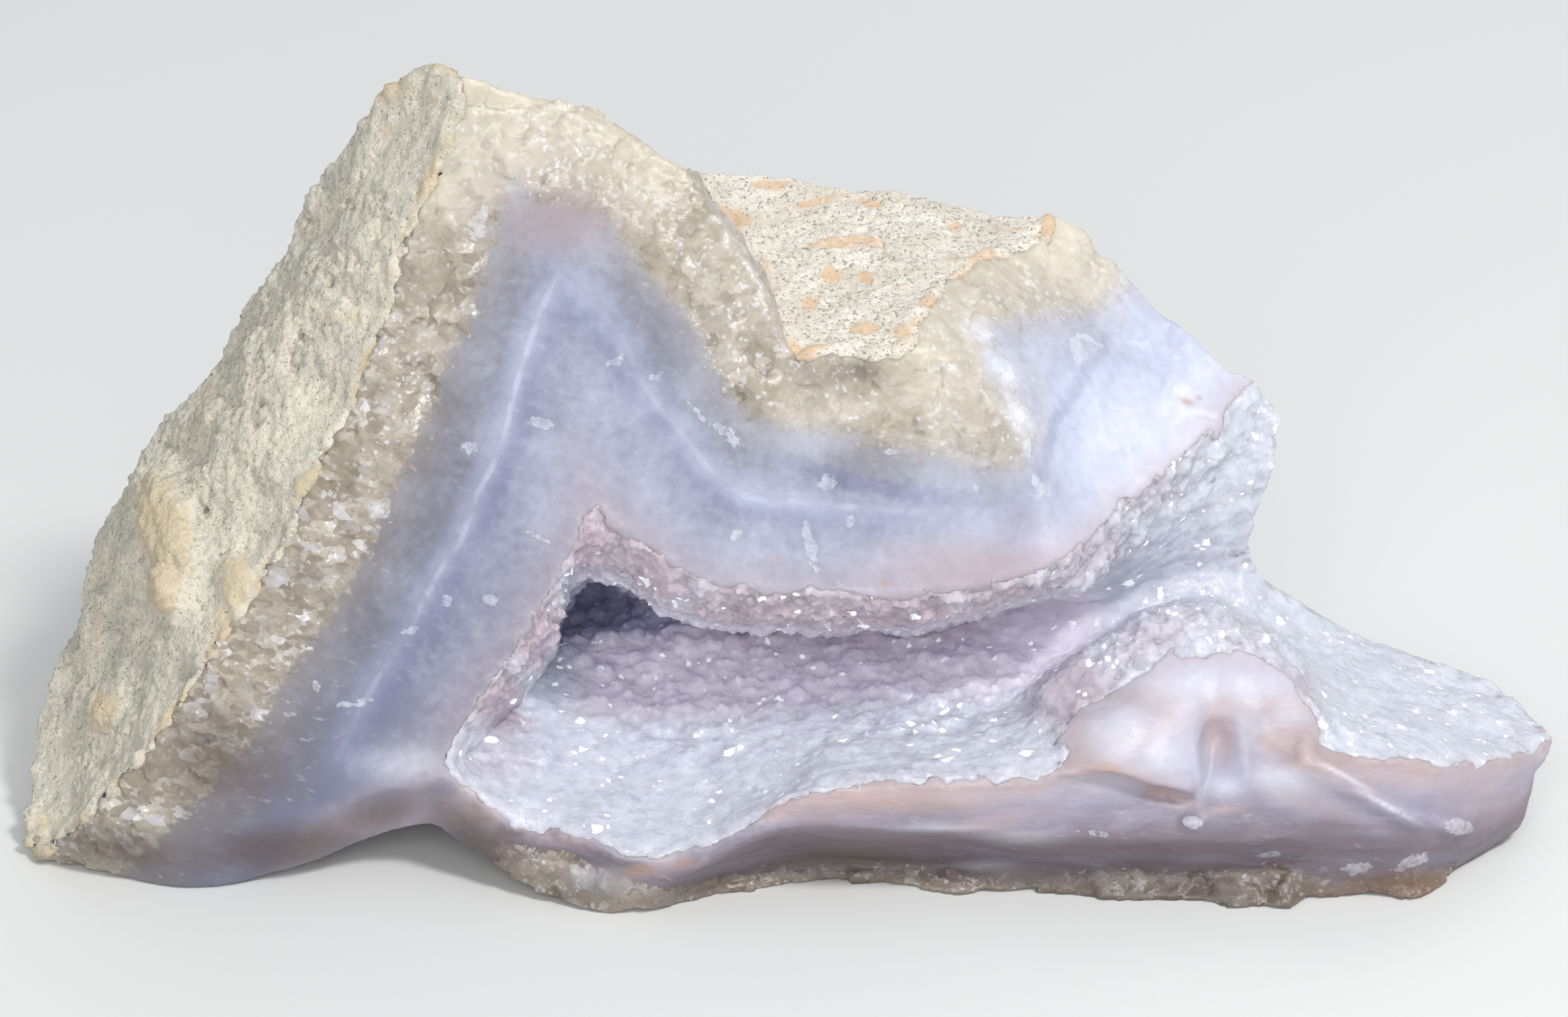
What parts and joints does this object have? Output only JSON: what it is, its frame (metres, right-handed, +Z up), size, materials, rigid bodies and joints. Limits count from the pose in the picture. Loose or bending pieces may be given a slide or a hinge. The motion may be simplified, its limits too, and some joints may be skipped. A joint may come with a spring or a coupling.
{
  "type": "blue lace agate specimen",
  "caption": "Broken piece of a blue-grey banded agate vein with host rock on its side and top and a crystal-lined hollow. It rests on its flat underside.",
  "frame": {"origin": "centre of the stone's bounding box in plan, at the height of its flat underside", "axes": "+X along the stone's length towards its low tail, +Y from the broken front face to the back, +Z up"},
  "size_m": [0.119, 0.047, 0.0604],
  "materials": {
    "agate": "broken, waxy to glossy chalcedony",
    "host_rock_side": "rough, pitted and matt",
    "host_rock_top": "rough, speckled and matt",
    "quartz_crystals": "small glassy crystal points"
  },
  "bodies": {
    "root": {"agate": "agate", "host_rock_side": "host_rock_side", "host_rock_top": "host_rock_top", "quartz_crystals": "quartz_crystals"}
  },
  "joints": []
}
